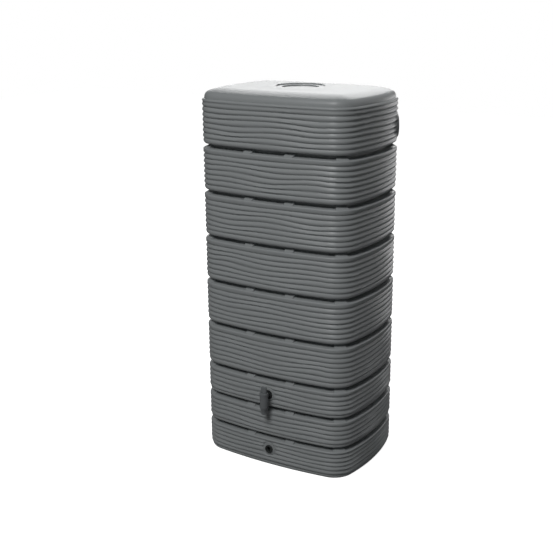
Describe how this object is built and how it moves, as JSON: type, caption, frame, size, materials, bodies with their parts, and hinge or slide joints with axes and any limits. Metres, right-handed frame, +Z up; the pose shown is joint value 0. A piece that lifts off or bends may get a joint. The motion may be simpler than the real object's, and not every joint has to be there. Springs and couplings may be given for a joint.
{
  "type": "rainwater tank",
  "caption": "Tall slim rainwater tank with rounded corners, wavy ribbed bands between deep grooves, a screw lid in a well on top, a plug tap low on the front and a drain plug.",
  "frame": {"origin": "middle of the tank's flat underside", "axes": "+Z up, the tap and drain plug face -Y, the long side of the tank runs along X"},
  "size_m": [0.784, 0.6358, 1.671],
  "materials": {
    "tank_plastic": "satin",
    "lid_plastic": "satin",
    "tap_plastic": "satin",
    "black_plastic": "satin",
    "black_rubber": "matte"
  },
  "bodies": {
    "tank": {"tank_body": "tank_plastic", "tap_body": "tap_plastic", "tap_gasket": "black_rubber", "tap_locknut": "black_plastic", "tap_cap": "tap_plastic", "tap_seal": "black_rubber"},
    "lid_ring": {"lid_seal": "black_rubber"},
    "lid": {"lid": "lid_plastic"},
    "tap_plug": {"tap_plug": "tap_plastic"},
    "drain_ring": {"drain_seal": "black_rubber"},
    "drain_plug": {"drain_plug": "black_plastic"}
  },
  "joints": [
    {"name": "lid_lift", "type": "slide", "parent": "tank", "child": "lid_ring", "axis": [0, 0, 1], "range_m": [0, 0.06]},
    {"name": "lid_turn", "type": "hinge", "parent": "lid_ring", "child": "lid", "pos_m": [0, 0, 1.66], "axis": [0, 0, 1], "continuous": true},
    {"name": "tap_turn", "type": "hinge", "parent": "tank", "child": "tap_plug", "pos_m": [0, -0.326, 0.348], "axis": [0, 0, 1], "range_deg": [0, 90]},
    {"name": "drain_pull", "type": "slide", "parent": "tank", "child": "drain_ring", "axis": [0, -1, 0], "range_m": [0, 0.04]},
    {"name": "drain_turn", "type": "hinge", "parent": "drain_ring", "child": "drain_plug", "pos_m": [0, -0.2915, 0.081], "axis": [0, -1, 0], "continuous": true}
  ]
}
